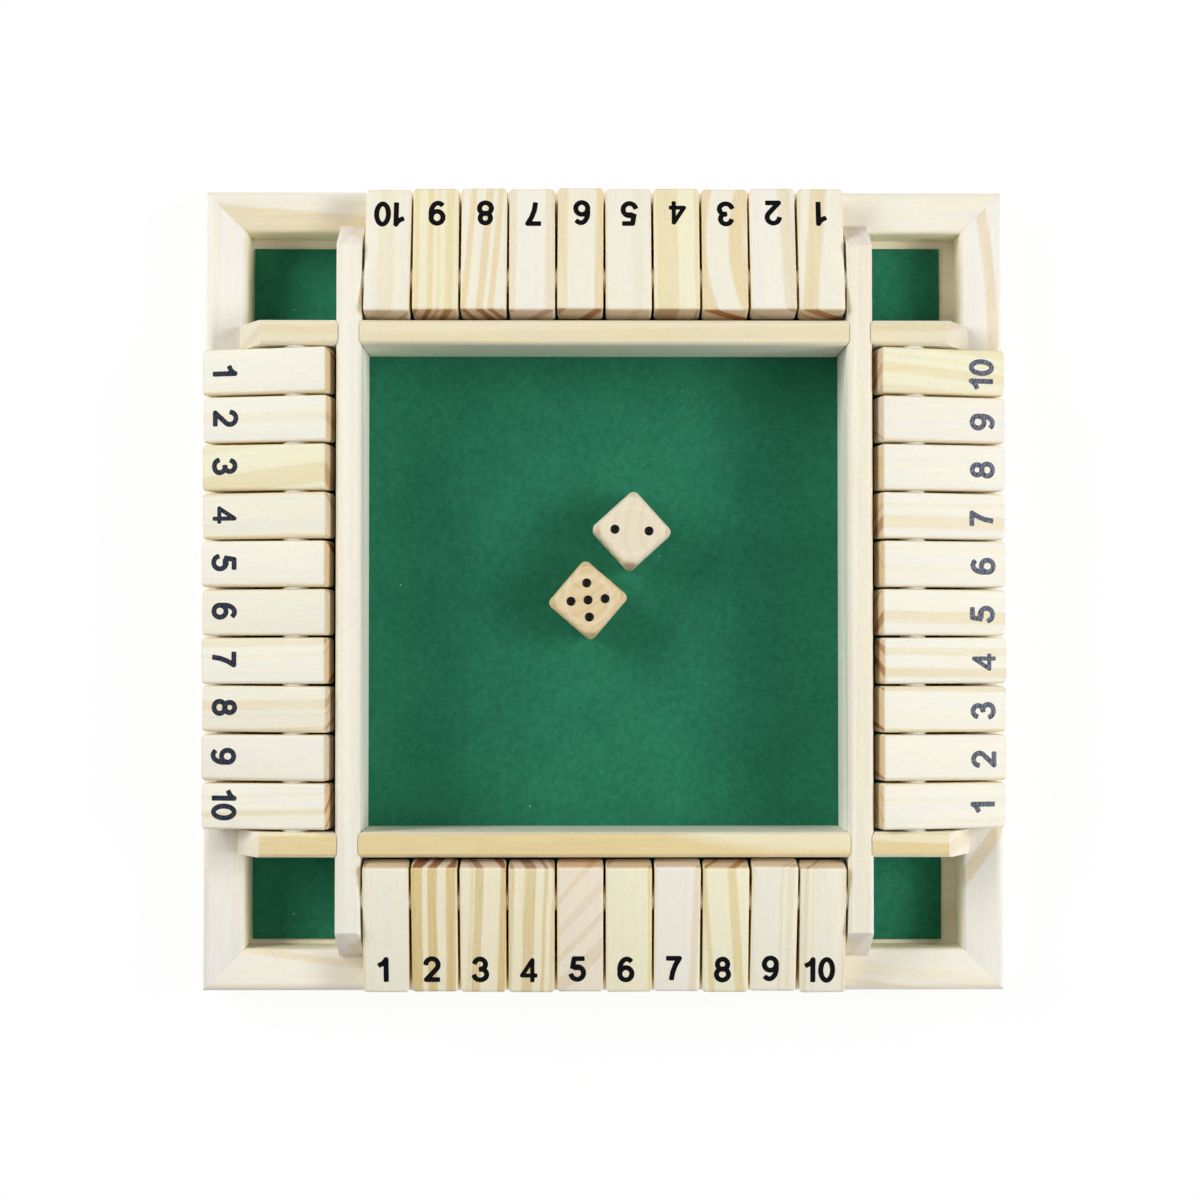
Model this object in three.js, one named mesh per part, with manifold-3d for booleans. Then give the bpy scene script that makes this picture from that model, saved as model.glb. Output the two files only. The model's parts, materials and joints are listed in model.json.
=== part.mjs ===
// A shut the box board for four players: a square pine frame round a felt-lined tray,
// four rows of ten number tiles that flip on steel rods, and two wooden dice.
// Millimetres. +X is east, +Y is north and +Z is up from the underside of the board.
import * as THREE from "three";
import { mergeVertices } from "three/addons/utils/BufferGeometryUtils.js";
import Module from "manifold-3d";

// Frame: four mitred rails, seen from above as a square
const boardSize = 220;
const frameWidth = 11.6;
const frameHeight = 15.5;
const frameOuterRound = 2.6;
const frameInnerRound = 1.2;
const frameFootRound = 0.8;
const mitreGap = 0.2;

// Floor: a plywood board let into the frame, with one sheet of felt glued on it
const baseThickness = 3;
const rabbetWidth = 5;
const baseClearance = 0.3;
const feltThickness = 1;
const feltMargins = { west: 0.3, east: 4, south: 1, north: 2.2 };

// Rails and dividers that part the tray from the rows of tiles
const compartmentWidth = 26;
const railWidth = 6.8;
const railTopRound = 1.4;
const railAboveRod = 4.3;
const railWallGap = 0.3;
const copeGap = 0.25;
const endLap = 1.7;
const endLip = 1;
const endSlope = 7.5;

// Rods, with a thin washer beside each tile
const rodRadius = 1.5;
const rodEndChamfer = 0.4;
const rodSeatDepth = 4.2;
const rodSeatClearance = 0.3;
const washerRadius = 3.2;
const washerThickness = 0.25;
const washerPlay = 0.2;

// Tiles: each hangs on its rod with a short arm inside and a long, numbered arm outside
const tilesPerRow = 10;
const tileThickness = 8.5;
const tileLongArm = 25.4;
const tileShortArm = 9.8;
const tileEndRound = 0.9;
const tileSideChamfer = 0.6;
const tileBoreClearance = 0.5;
const tileSwingGap = 0.7;
const tileRestGap = 0.3;
const tileTilt = THREE.MathUtils.degToRad(12.5);

// How the loose tiles of each row lie, first tile first, as shares of their play
const tileYawLimit = THREE.MathUtils.degToRad(0.5);
const tileSlideLimit = 0.35;
const tileYawShares = {
  south: [-0.6, 0.2, 0, -0.3, 0.1, 0.4, -0.2, 0.2, -0.8, 0.9],
  east: [0.3, -0.4, 0, 0.5, -0.2, 0.1, -0.5, 0.3, 0, -0.6],
  north: [0.1, 0.5, -0.3, 0, 0.2, -0.5, 0.4, -0.1, 0.3, -0.7],
  west: [0.6, 0, -0.2, 0.4, -0.4, 0.1, 0.2, -0.6, 0.1, 0.5],
};
const tileSlideShares = {
  south: [0.2, -0.3, 0, 0.4, -0.2, 0.1, -0.4, 0.3, -0.6, 0.7],
  east: [-0.5, 0.3, 0, 0.6, -0.2, 0.4, -0.3, 0.1, 0.2, -0.4],
  north: [0, 0.4, -0.4, 0.2, -0.1, 0.5, -0.3, 0.1, -0.2, -1],
  west: [0.3, -0.5, 0.1, -0.2, 0.5, 0, 0.4, -0.4, 0.2, -0.3],
};

// Dice: places are shares of a side, counted from the middle of the tray
const dieSide = 16;
const dieEdgeRound = 1.1;
const dieCornerSphere = 12;
const pipRadius = 1.2;
const pipDepth = 0.8;
const pipTip = 0.4;
const pipSpread = 3.3;
const dieTwoPlaceShares = [0.475, 1.006];
const dieTwoYaw = THREE.MathUtils.degToRad(42.1);
const dieFivePlaceShares = [-0.275, -0.188];
const dieFiveYaw = THREE.MathUtils.degToRad(49.5);

// How finely round shapes are cut, and how far a cutter runs past what it cuts
const roundSteps = 3;
const endRoundSteps = 1;
const holeSides = 12;
const rodSides = 10;
const pipSides = 8;
const sphereSides = 16;
const overrun = 5;
const mergeDistance = 1e-4;

// Heights and distances that follow from the sizes above
const halfBoard = boardSize / 2;
const frameInner = halfBoard - frameWidth;
const railOuter = frameInner - compartmentWidth;
const trayHalf = railOuter - railWidth;
const railCentre = trayHalf + railWidth / 2;
const floorTop = baseThickness + feltThickness;
const shortArmReach =
  Math.hypot(tileShortArm - tileEndRound, tileThickness / 2 - tileEndRound) + tileEndRound;
const rodOffset = railOuter + shortArmReach + tileSwingGap;
const rodHeight =
  frameHeight +
  tileRestGap +
  (tileLongArm - tileEndRound) * Math.sin(tileTilt) +
  (tileThickness / 2 - tileEndRound) * Math.cos(tileTilt) +
  tileEndRound;
const railTop = rodHeight + railAboveRod;
const tileGap = washerThickness + 2 * washerPlay;
const tileWidth = (2 * trayHalf - (tilesPerRow + 1) * tileGap) / tilesPerRow;
const tilePitch = tileWidth + tileGap;

// The four sides, each a quarter turn on from the last
const sides = ["south", "east", "north", "west"];

const pine = new THREE.MeshStandardMaterial({ color: 0xf0e6cf, roughness: 0.62 });
const palePine = new THREE.MeshStandardMaterial({ color: 0xf3ead6, roughness: 0.6 });
const tilePine = new THREE.MeshStandardMaterial({ color: 0xecdfc2, roughness: 0.58 });
const plywood = new THREE.MeshStandardMaterial({ color: 0xd9c49a, roughness: 0.7 });
const greenFelt = new THREE.MeshStandardMaterial({ color: 0x1f6b4f, roughness: 0.95 });
const steel = new THREE.MeshStandardMaterial({ color: 0xc4c6c8, roughness: 0.3, metalness: 1 });
const paleDieWood = new THREE.MeshStandardMaterial({ color: 0xeadbc6, roughness: 0.5 });
const tanDieWood = new THREE.MeshStandardMaterial({ color: 0xdcc391, roughness: 0.5 });

const wasm = await Module();
wasm.setup();

// A closed geometry as a solid that can be joined and cut
function solidOf(geometry) {
  const bare = new THREE.BufferGeometry();
  bare.setAttribute("position", geometry.getAttribute("position"));
  bare.setIndex(geometry.getIndex());
  const merged = mergeVertices(bare, mergeDistance);
  const vertProperties = merged.getAttribute("position").array;
  const triVerts = new Uint32Array(merged.getIndex().array);
  return new wasm.Manifold(new wasm.Mesh({ numProp: 3, vertProperties, triVerts }));
}

// The geometry of a solid, with flat faces
function geometryOf(solid) {
  const { vertProperties, triVerts } = solid.getMesh();
  const shared = new THREE.BufferGeometry();
  shared.setAttribute("position", new THREE.BufferAttribute(vertProperties, 3));
  shared.setIndex(new THREE.BufferAttribute(triVerts, 1));
  const flat = shared.toNonIndexed();
  flat.computeVertexNormals();
  return flat;
}

function cut(geometry, cutters) {
  return geometryOf(cutters.reduce((left, c) => left.subtract(solidOf(c)), solidOf(geometry)));
}

function common(geometries) {
  return geometryOf(geometries.map(solidOf).reduce((a, b) => a.intersect(b)));
}

// A shape drawn in X and Z, drawn out along Y to both sides of the middle
function alongY(shape, length, steps = roundSteps) {
  const options = { depth: length, bevelEnabled: false, curveSegments: steps };
  const geometry = new THREE.ExtrudeGeometry(shape, options);
  return geometry.translate(0, 0, -length / 2).rotateX(Math.PI / 2);
}

// A shape drawn in Y and Z, drawn out along X to both sides of the middle
function alongX(shape, length, steps = roundSteps) {
  return alongY(shape, length, steps).rotateZ(Math.PI / 2);
}

// An outline of corner points, each [x, z, radius], with a quarter round where it has a radius
function roundedShape(corners) {
  const shape = new THREE.Shape();
  corners.forEach(([x, z, radius = 0], i) => {
    const before = corners.at(i - 1);
    const after = corners[(i + 1) % corners.length];
    const start = stepTowards([x, z], before, radius);
    const end = stepTowards([x, z], after, radius);
    const centre = [start[0] + end[0] - x, start[1] + end[1] - z];
    const from = Math.atan2(start[1] - centre[1], start[0] - centre[0]);
    const to = Math.atan2(end[1] - centre[1], end[0] - centre[0]);
    if (radius > 0) shape.absarc(...centre, radius, from, to, false);
    else if (i === 0) shape.moveTo(x, z);
    else shape.lineTo(x, z);
  });
  shape.closePath();
  return shape;
}

function stepTowards([x, z], [toX, toZ], distance) {
  const away = Math.hypot(toX - x, toZ - z);
  return [x + ((toX - x) * distance) / away, z + ((toZ - z) * distance) / away];
}

function rectangle(low, high, bottom, top, radius = 0) {
  return roundedShape([
    [low, bottom, radius],
    [high, bottom, radius],
    [high, top, radius],
    [low, top, radius],
  ]);
}

// A frame rail along the south side, with rounded edges, a rabbet for the floor and mitred ends
function frameRail() {
  const outer = -halfBoard;
  const inner = -frameInner;
  const section = roundedShape([
    [outer, 0, frameFootRound],
    [inner - rabbetWidth, 0],
    [inner - rabbetWidth, baseThickness],
    [inner, baseThickness],
    [inner, frameHeight, frameInnerRound],
    [outer, frameHeight, frameOuterRound],
  ]);
  const rail = alongX(section, boardSize);
  const places = rail.getAttribute("position");
  for (let i = 0; i < places.count; i++) {
    const reach = Math.abs(places.getY(i)) - mitreGap * Math.SQRT1_2;
    places.setX(i, Math.sign(places.getX(i)) * reach);
  }
  rail.computeVertexNormals();
  return rail;
}

function baseBoard() {
  const side = 2 * (frameInner + rabbetWidth - baseClearance);
  return new THREE.BoxGeometry(side, side, baseThickness).translate(0, 0, baseThickness / 2);
}

// One sheet of felt, cut a little short and laid off centre
function feltSheet() {
  const { west, east, south, north } = feltMargins;
  const width = 2 * frameInner - west - east;
  const length = 2 * frameInner - south - north;
  const sheet = new THREE.BoxGeometry(width, length, feltThickness);
  return sheet.translate((west - east) / 2, (south - north) / 2, floorTop - feltThickness / 2);
}

// The cross-section of every rail and divider, or of a cutter that clears it by grow
function railSection(grow = 0, bottom = floorTop) {
  const half = railWidth / 2 + grow;
  return roundedShape([
    [-half, bottom],
    [half, bottom],
    [half, railTop + grow, railTopRound + grow],
    [-half, railTop + grow, railTopRound + grow],
  ]);
}

// The end of a rail seen from its side: it drops between the frame, laps over it and slopes up
function endPoints(direction) {
  const wall = direction * (frameInner - railWallGap);
  const tip = direction * (frameInner + endLap);
  return [
    [wall, floorTop],
    [wall, frameHeight],
    [tip, frameHeight],
    [tip, frameHeight + endLip],
    [tip - direction * endSlope, railTop],
  ];
}

function rodHole() {
  const length = rodSeatDepth + rodSeatClearance + overrun;
  const radius = rodRadius + rodSeatClearance;
  const hole = new THREE.CylinderGeometry(radius, radius, length, holeSides);
  return hole.translate(0, overrun - length / 2, 0);
}

// The east divider, which runs the whole way from frame to frame
function longDivider() {
  const outline = [...endPoints(1), ...endPoints(-1).reverse()];
  const bar = alongY(railSection(), boardSize);
  const profile = alongX(roundedShape(outline), 2 * railWidth);
  const holes = [-rodOffset, rodOffset].map((y) =>
    rodHole().rotateZ(Math.PI / 2).translate(-railWidth / 2, y, rodHeight),
  );
  return cut(common([bar, profile]), holes);
}

// A cutter that shapes the end of a rail to fit over a long divider's rounded side
function cope(x) {
  return alongY(railSection(copeGap, -overrun), boardSize).translate(x, 0, 0);
}

// A rail across the tray, coped to both dividers
function crossRail() {
  const bar = alongX(railSection(), 2 * railCentre);
  return cut(bar, [cope(railCentre), cope(-railCentre)]);
}

// A rail from the east divider to the frame, with a hole for a rod in the face on holeSide
function shortRail(holeSide) {
  const bar = alongX(railSection(), 2 * boardSize);
  const outline = [[railCentre, floorTop], ...endPoints(1), [railCentre, railTop]];
  const profile = alongY(roundedShape(outline), 2 * railWidth);
  const turn = holeSide > 0 ? 0 : Math.PI;
  const hole = rodHole().rotateZ(turn).translate(rodOffset, (holeSide * railWidth) / 2, rodHeight);
  return cut(common([bar, profile]), [cope(railCentre), hole]);
}

// A steel rod along Y with its washers, turned as one outline
function rodWithWashers() {
  const half = trayHalf + rodSeatDepth;
  const outline = [
    [0, -half],
    [rodRadius - rodEndChamfer, -half],
    [rodRadius, rodEndChamfer - half],
  ];
  for (let i = 0; i <= tilesPerRow; i++) {
    const start = i * tilePitch + washerPlay - trayHalf;
    const end = start + washerThickness;
    outline.push([rodRadius, start], [washerRadius, start], [washerRadius, end], [rodRadius, end]);
  }
  outline.push([rodRadius, half - rodEndChamfer], [rodRadius - rodEndChamfer, half], [0, half]);
  const points = outline.map(([radius, along]) => new THREE.Vector2(radius, along));
  return new THREE.LatheGeometry(points, rodSides);
}

// A tile of the south row with its bore on X, its long arm towards -Y and its face up
function tile() {
  const half = tileThickness / 2;
  const side = rectangle(-tileLongArm, tileShortArm, -half, half, tileEndRound);
  const block = new THREE.ExtrudeGeometry(side, {
    depth: tileWidth - 2 * tileSideChamfer,
    bevelThickness: tileSideChamfer,
    bevelSize: tileSideChamfer,
    bevelOffset: -tileSideChamfer,
    bevelSegments: 1,
    curveSegments: endRoundSteps,
  });
  block.translate(0, 0, tileSideChamfer - tileWidth / 2);
  block.rotateX(Math.PI / 2).rotateZ(Math.PI / 2);
  const radius = rodRadius + tileBoreClearance;
  const bore = new THREE.CylinderGeometry(radius, radius, tileWidth + overrun, holeSides);
  return cut(block, [bore.rotateZ(Math.PI / 2)]);
}

// The pips of each number, in steps of pipSpread from the middle of a face
const one = [[0, 0]];
const two = [
  [-1, 1],
  [1, -1],
];
const four = [...two, [1, 1], [-1, -1]];
const pipPatterns = {
  1: one,
  2: two,
  3: [...one, ...two],
  4: four,
  5: [...one, ...four],
  6: [...four, [-1, 0], [1, 0]],
};

// Turns that bring the top of a die to each of its faces, with opposite faces adding up to seven
const faceTurns = {
  2: [0, 0],
  5: [Math.PI, 0],
  1: [0, Math.PI / 2],
  6: [0, -Math.PI / 2],
  4: [-Math.PI / 2, 0],
  3: [Math.PI / 2, 0],
};

// A drill with a pointed tip that sinks one pip into the top of a die
function pipDrill() {
  const tip = dieSide / 2 - pipDepth;
  const top = dieSide / 2 + overrun;
  const outline = [
    [0, tip - pipTip],
    [pipRadius, tip],
    [pipRadius, top],
    [0, top],
  ];
  const points = outline.map(([radius, along]) => new THREE.Vector2(radius, along));
  return new THREE.LatheGeometry(points, pipSides).rotateX(Math.PI / 2);
}

// A die with rounded edges, corners cut by a sphere and drilled pips, two pips up
function die() {
  const half = dieSide / 2;
  const square = rectangle(-half, half, -half, half, dieEdgeRound);
  const bar = () => alongY(square, dieSide, endRoundSteps);
  const ball = new THREE.SphereGeometry(dieCornerSphere, sphereSides, sphereSides / 2);
  const body = common([bar(), bar().rotateX(Math.PI / 2), bar().rotateZ(Math.PI / 2), ball]);
  const drills = Object.entries(faceTurns).flatMap(([number, [turnX, turnY]]) =>
    pipPatterns[number].map(([x, y]) =>
      pipDrill()
        .translate(x * pipSpread, y * pipSpread, 0)
        .rotateX(turnX)
        .rotateY(turnY),
    ),
  );
  return cut(body, drills);
}

const board = new THREE.Group();
board.name = "shut_the_box";

function add(name, geometry, material, parent = board) {
  const mesh = new THREE.Mesh(geometry, material);
  mesh.name = name;
  parent.add(mesh);
  return mesh;
}

add("base_board", baseBoard(), plywood);
add("felt_lining", feltSheet(), greenFelt);

const frameRailShape = frameRail();
const rodShape = rodWithWashers();
const tileShape = tile();

sides.forEach((side, quarter) => {
  const group = new THREE.Group();
  group.rotation.z = (quarter * Math.PI) / 2;
  board.add(group);
  add(`${side}_frame_rail`, frameRailShape, pine, group);
  const rod = add(`${side}_rod`, rodShape, steel, group);
  rod.rotation.z = -Math.PI / 2;
  rod.position.set(0, -rodOffset, rodHeight);
  for (let i = 0; i < tilesPerRow; i++) {
    const mesh = add(`${side}_tile_${i + 1}`, tileShape, tilePine, group);
    const x = tileGap + tileWidth / 2 + i * tilePitch - trayHalf;
    mesh.position.set(x, -rodOffset, rodHeight);
    mesh.rotation.set(tileTilt, 0, tileYawShares[side][i] * tileYawLimit);
    mesh.translateY(-tileSlideShares[side][i] * tileSlideLimit);
  }
});

const dividerShape = longDivider();
add("east_divider", dividerShape, palePine);
add("west_divider", dividerShape, palePine);
const crossRailShape = crossRail();
add("south_cross_rail", crossRailShape, palePine);
add("north_cross_rail", crossRailShape, palePine);
const shortRailNorthHole = shortRail(1);
const shortRailSouthHole = shortRail(-1);
add("south_east_rail", shortRailNorthHole, palePine);
add("north_east_rail", shortRailSouthHole, palePine);
add("north_west_rail", shortRailNorthHole, palePine);
add("south_west_rail", shortRailSouthHole, palePine);

function place(name, x, y, turn) {
  const mesh = board.getObjectByName(name);
  mesh.position.set(x, y, 0);
  mesh.rotation.z = turn;
}

place("east_divider", railCentre, 0, 0);
place("west_divider", -railCentre, 0, Math.PI);
place("south_cross_rail", 0, -railCentre, 0);
place("north_cross_rail", 0, railCentre, Math.PI);
place("south_east_rail", 0, -railCentre, 0);
place("north_east_rail", 0, railCentre, 0);
place("north_west_rail", 0, railCentre, Math.PI);
place("south_west_rail", 0, -railCentre, Math.PI);

const dieShape = die();
const dieTwo = add("die_two", dieShape, paleDieWood);
const [twoX, twoY] = dieTwoPlaceShares.map((share) => share * dieSide);
dieTwo.position.set(twoX, twoY, floorTop + dieSide / 2);
dieTwo.rotation.z = dieTwoYaw;
const dieFive = add("die_five", dieShape, tanDieWood);
const [fiveX, fiveY] = dieFivePlaceShares.map((share) => share * dieSide);
dieFive.position.set(fiveX, fiveY, floorTop + dieSide / 2);
dieFive.rotation.set(Math.PI, 0, dieFiveYaw, "ZXY");

export default board;
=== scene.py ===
import json
from math import copysign, cos, pi, radians, sin

import bmesh
import bpy
import numpy as np
from mathutils import Matrix, Vector


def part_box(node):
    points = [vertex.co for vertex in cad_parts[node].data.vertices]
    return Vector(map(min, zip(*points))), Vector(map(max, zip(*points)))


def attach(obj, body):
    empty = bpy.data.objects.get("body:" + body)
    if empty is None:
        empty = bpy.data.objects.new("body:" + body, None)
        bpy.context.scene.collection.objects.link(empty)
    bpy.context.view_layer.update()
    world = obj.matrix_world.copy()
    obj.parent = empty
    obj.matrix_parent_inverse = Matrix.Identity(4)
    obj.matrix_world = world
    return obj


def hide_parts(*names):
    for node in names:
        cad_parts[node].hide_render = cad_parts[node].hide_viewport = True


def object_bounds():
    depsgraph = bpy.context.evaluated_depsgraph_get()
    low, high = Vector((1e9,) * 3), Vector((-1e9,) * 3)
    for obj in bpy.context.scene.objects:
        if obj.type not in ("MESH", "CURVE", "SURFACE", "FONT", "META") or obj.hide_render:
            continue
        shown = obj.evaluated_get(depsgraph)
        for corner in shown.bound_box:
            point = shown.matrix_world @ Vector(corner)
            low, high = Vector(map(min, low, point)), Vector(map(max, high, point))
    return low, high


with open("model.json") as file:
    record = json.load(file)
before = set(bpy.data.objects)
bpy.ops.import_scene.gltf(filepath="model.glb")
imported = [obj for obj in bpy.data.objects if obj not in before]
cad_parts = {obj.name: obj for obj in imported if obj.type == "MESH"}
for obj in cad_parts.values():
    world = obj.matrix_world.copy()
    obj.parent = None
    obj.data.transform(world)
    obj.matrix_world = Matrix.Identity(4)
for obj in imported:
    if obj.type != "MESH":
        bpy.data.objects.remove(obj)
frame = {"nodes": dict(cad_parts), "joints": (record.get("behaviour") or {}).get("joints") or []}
cad_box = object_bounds()

MM = 0.001
WHITE = (1, 1, 1, 1)
OUTWARD = {"south": (0, -1, 0), "east": (1, 0, 0), "north": (0, 1, 0), "west": (-1, 0, 0)}
TILES_PER_ROW = 10

# Camera, from the photograph's perspective
CAMERA_AT = Vector((-6.6, -19.4, 665)) * MM
CAMERA_LOOKS_AT = Vector((-1.1, -2.9, 15.5)) * MM
CAMERA_LENS = 70.9
CAMERA_SENSOR = 36.0
CAMERA_CLIP = 10 * MM

# Lamps: azimuth and elevation in degrees, watts, then width and height in metres
LAMP_DISTANCE = 1.4
LAMPS = {
    "key_east": ((-8, 43), 6.0, (1.1, 0.6)),
    "key_east_low": ((5, 36), 8.6, (0.8, 0.35)),
    "key_west": ((155, 33), 14.8, (1.1, 0.6)),
    "fill_south": ((-85, 40), 1.8, (1.1, 0.6)),
}
AMBIENT = 0.11

# Floor: its reach and where its shadow starts to fade and has gone, in metres from its middle, then
# how bright it looks and the share of that near the part, where the shadow is the rest
FLOOR_REACH = 4.0
FADE_START = 0.35
FADE_END = 1.0
FLOOR_WHITE = 1.012
FLOOR_GLOW_SHARE = 0.9
FLOOR_BELOW = 0.05 * MM

# Edges of the rails, and what counts as an edge
ARRIS = 0.22 * MM
MITRE_ARRIS = 0.05 * MM
MITRE_CLOSED = 0.137 * MM
MITRE_TOLERANCE = 0.02
WELD = 0.002 * MM
FLAT_DEGREES = 0.6
EDGE_DEGREES = 32
SMOOTH_DEGREES = 38
SOFT_DEGREES = 60
DIE_DEGREES = 70

# Felt: its grid, how far its edge draws in and droops, and how its face ripples
FELT_CELL = 1.6 * MM
FELT_PULL = 0.28 * MM
FELT_PULL_POWER = 24
FELT_WAVES = (17 * MM, 23 * MM)
FELT_WAVE_START = 1.3
FELT_DROOP = 0.35 * MM
FELT_DROOP_POWER = 90
FELT_SUNK = 0.05 * MM
FELT_RIPPLE = 0.03 * MM
FELT_RIPPLES = (9 * MM, 11 * MM)

# Tiles, rods and washers
TILE_ROUND = 0.95 * MM
TILE_TILT = 12.5
TILE_GAP = 0.65 * MM
SAME_WAY = 0.985
ROD_RADIUS = 1.5 * MM
ROD_BEVEL = 0.35 * MM
ROD_HOLE_RADIUS = 2.0 * MM
WASHER_RADIUS = 3.4 * MM
WASHER_BORE = 1.75 * MM
WASHER_THICKNESS = 0.24 * MM
WASHER_BEVEL = 0.07 * MM
WASHER_SPREAD = 0.3 * MM
WASHER_DRIFT = 0.2 * MM
WASHER_DRIFT_STEP = 2.1
WASHER_DRIFT_START = 0.7
ROD_SIDES = 40
RING_SIDES = 36
PIP_SIDES = 28

# Dice
DIE_EDGE = 1.6 * MM
DIE_SPHERE = 12.0 * MM
DIE_CUTS = 47
PIP_RADIUS = 1.27 * MM
PIP_DEPTH = 0.8 * MM
PIP_SPREAD = 3.3 * MM
PIP_OVERRUN = 1.0 * MM
PAINT_BELOW = 0.06 * MM
PAINT_HOLLOW = 0.5 * MM
PAINT_STEPS = 6
PAINT_RADIUS_SHARE = 0.985
PAINT_DEPTH_SHARE = 0.98

# Numerals
DIGIT_HEIGHT = 7.3 * MM
DIGIT_STROKE = 1.38 * MM
DIGIT_CORNER = 0.28 * MM
DIGIT_CELL = 0.13 * MM
STROKE_END_SHARE = 0.7
NUMBER_SPACE_SHARE = 1.28
INK_PROUD = 0.03 * MM
INK_SUNK = 0.06 * MM

# How far the middle of a numeral lies from its tile's outer end and to the left, in mm
DIGIT_AT = {"south": (6.6, 0.8), "east": (6.8, 0.5), "north": (7.4, 0.3), "west": (6.6, 0.35)}

# Relief of each surface: strength, and depth in mm
RELIEF = {
    "pine": (0.25, 0.06),
    "felt": (0.7, 0.25),
    "plywood": (0.3, 0.05),
    "nylon": (0.15, 0.1),
    "ink": (0.2, 0.03),
    "die": (0.15, 0.05),
}

# Fibres of each surface: how fine they are along X, Y and Z, per mm, then detail and roughness
FIBRES = {
    "ring_slow": (0.03, 0.1, 0.1, 2.0, 0.5),
    "ring_quick": (0.09, 0.9, 0.9, 2.0, 0.5),
    "ring_ragged": (0.7, 3.6, 3.6, 3.0, 0.7),
    "broad": (0.03, 0.7, 0.7, 3.0, 0.6),
    "fine": (0.2, 3.4, 3.4, 4.0, 0.7),
    "cloud": (0.03, 0.07, 0.07, 2.0, 0.5),
    "grit": (1.6, 3.2, 3.2, 3.0, 0.7),
    "pores": (0.3, 5.5, 5.5, 1.0, 0.5),
    "streak": (0.05, 1.7, 1.7, 3.0, 0.6),
    "speck": (0.5, 3.0, 3.0, 3.0, 0.6),
    "felt_along": (2.6, 1.1, 2.0, 4.0, 0.75),
    "felt_across": (1.1, 2.8, 2.0, 4.0, 0.75),
    "ply_figure": (0.02, 0.12, 1.0, 4.0, 0.6),
    "ply_lines": (0.05, 1.6, 1.0, 3.0, 0.6),
    "drawn": (0.2, 4.0, 4.0, 3.0, 0.5),
    "ink_grain": (0.4, 5.0, 5.0, 3.0, 0.7),
    "die_fine": (0.5, 3.5, 2.0, 4.0, 0.7),
}


def srgb(red, green, blue):
    """A colour as seen, 0 to 255, as the linear colour that shaders use."""
    seen = [c / 255 for c in (red, green, blue)]
    linear = [c / 12.92 if c <= 0.04045 else ((c + 0.055) / 1.055) ** 2.4 for c in seen]
    return (*linear, 1.0)


# Node helpers


def add_node(tree, kind, inputs=None, **settings):
    node = tree.nodes.new(kind)
    for key, value in settings.items():
        setattr(node, key, value)
    for key, value in (inputs or {}).items():
        if isinstance(value, bpy.types.NodeSocket):
            tree.links.new(value, node.inputs[key])
        else:
            node.inputs[key].default_value = value
    return node


def calc(tree, operation, first, second=0.0, third=0.0, clamp=False):
    inputs = {0: first, 1: second, 2: third}
    return add_node(tree, "ShaderNodeMath", inputs, operation=operation, use_clamp=clamp).outputs[0]


def sway(tree, value, amount, middle=1.0):
    """A noise from 0 to 1 made to sway about a middle value."""
    return calc(tree, "MULTIPLY_ADD", calc(tree, "SUBTRACT", value, 0.5), amount, middle)


def stretch(tree, vector, scale):
    inputs = {0: vector, 1: scale}
    return add_node(tree, "ShaderNodeVectorMath", inputs, operation="MULTIPLY").outputs[0]


def length_of(tree, vector):
    return add_node(tree, "ShaderNodeVectorMath", {0: vector}, operation="LENGTH").outputs["Value"]


def parts_of(tree, vector):
    return add_node(tree, "ShaderNodeSeparateXYZ", {0: vector}).outputs


def in_mm(tree):
    """A point of the object in its own frame, in mm."""
    place = tree.nodes.new("ShaderNodeTexCoord").outputs["Object"]
    return stretch(tree, place, (1 / MM, 1 / MM, 1 / MM))


def noise(tree, vector, scale, seed, detail=2.0, roughness=0.5):
    inputs = {"Vector": vector, "W": seed, "Scale": scale, "Detail": detail, "Roughness": roughness}
    return add_node(tree, "ShaderNodeTexNoise", inputs, noise_dimensions="4D").outputs[0]


def fibres(tree, at, kind, seed):
    *scale, detail, roughness = FIBRES[kind]
    return noise(tree, stretch(tree, at, scale), 1.0, seed, detail, roughness)


def smooth(tree, value, low, high):
    inputs = {"Value": value, "From Min": low, "From Max": high}
    return add_node(tree, "ShaderNodeMapRange", inputs, interpolation_type="SMOOTHSTEP").outputs[0]


def mix(tree, share, first, second, blend="MIX"):
    inputs = {0: share, 6: first, 7: second}
    node = add_node(tree, "ShaderNodeMix", inputs, data_type="RGBA", blend_type=blend)
    return node.outputs[2]


def shaded(tree, color, shade):
    return mix(tree, 1.0, color, shade, "MULTIPLY")


def shader_of(tree):
    return tree.nodes["Principled BSDF"]


def new_material(name, **principled):
    """A node material, with constant settings on its shader's own sockets."""
    material = bpy.data.materials.new(name)
    material.use_nodes = True
    sockets = shader_of(material.node_tree).inputs
    for key, value in principled.items():
        sockets[key.replace("_", " ")].default_value = value
    return material, material.node_tree


def dressed(material, color, height=None, kind=None):
    """The material with its colour, and with its relief where its kind is given."""
    tree = material.node_tree
    sockets = shader_of(tree).inputs
    tree.links.new(color, sockets["Base Color"])
    if kind:
        strength, depth = RELIEF[kind]
        inputs = {"Height": height, "Strength": strength, "Distance": depth * MM}
        bump = add_node(tree, "ShaderNodeBump", inputs)
        tree.links.new(bump.outputs[0], sockets["Normal"])
    return material


def white_where_seen(tree, lit, white, share=1.0):
    """A shader that is white to rays from the camera, off something glossy or through something
    clear, by a share, and lit as usual to the others."""
    rays = tree.nodes.new("ShaderNodeLightPath").outputs
    seen = calc(tree, "MAXIMUM", rays["Is Camera Ray"], rays["Is Glossy Ray"])
    seen = calc(tree, "MAXIMUM", seen, rays["Is Transmission Ray"])
    seen = calc(tree, "MULTIPLY", seen, share)
    return add_node(tree, "ShaderNodeMixShader", {0: seen, 1: lit, 2: white}).outputs[0]


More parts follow.
